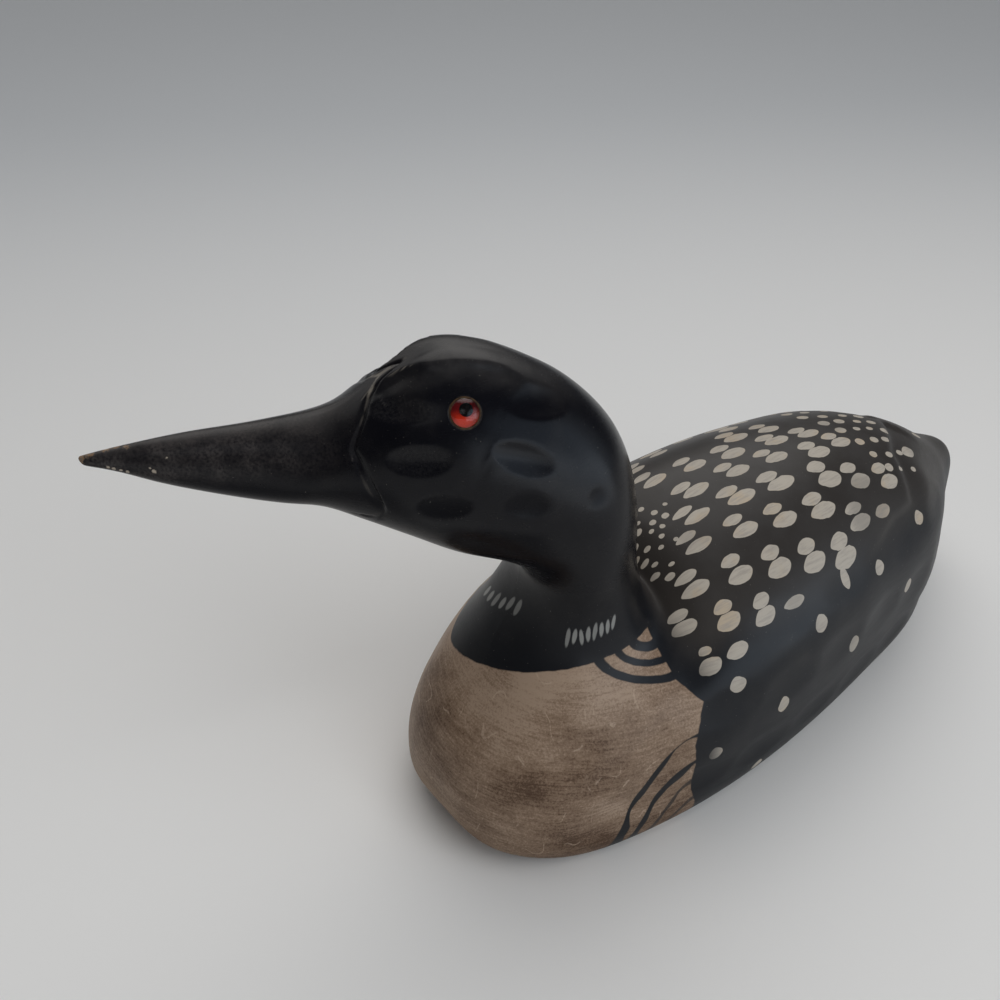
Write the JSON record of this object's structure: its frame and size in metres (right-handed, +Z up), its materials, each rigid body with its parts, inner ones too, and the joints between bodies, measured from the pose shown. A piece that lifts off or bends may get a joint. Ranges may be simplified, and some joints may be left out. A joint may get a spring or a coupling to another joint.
{
  "type": "carved loon decoy",
  "caption": "Carved and painted wooden loon with a turned head, a long pointed bill, a flat underside and glass eyes.",
  "frame": {"origin": "middle of the flat underside, on the surface that the bird stands on", "axes": "+Z up, +Y towards the tail, +X towards the bird's left side, so the bird faces -Y"},
  "size_m": [0.12, 0.3679, 0.1807],
  "materials": {
    "painted_wood": "hand-painted satin black with a grey-brown washed breast and off-white spots",
    "glass_eye": "clear glass over a painted red iris and a black pupil"
  },
  "bodies": {
    "root": {"carved_loon": "painted_wood", "left_eye": "glass_eye", "right_eye": "glass_eye"}
  },
  "joints": []
}
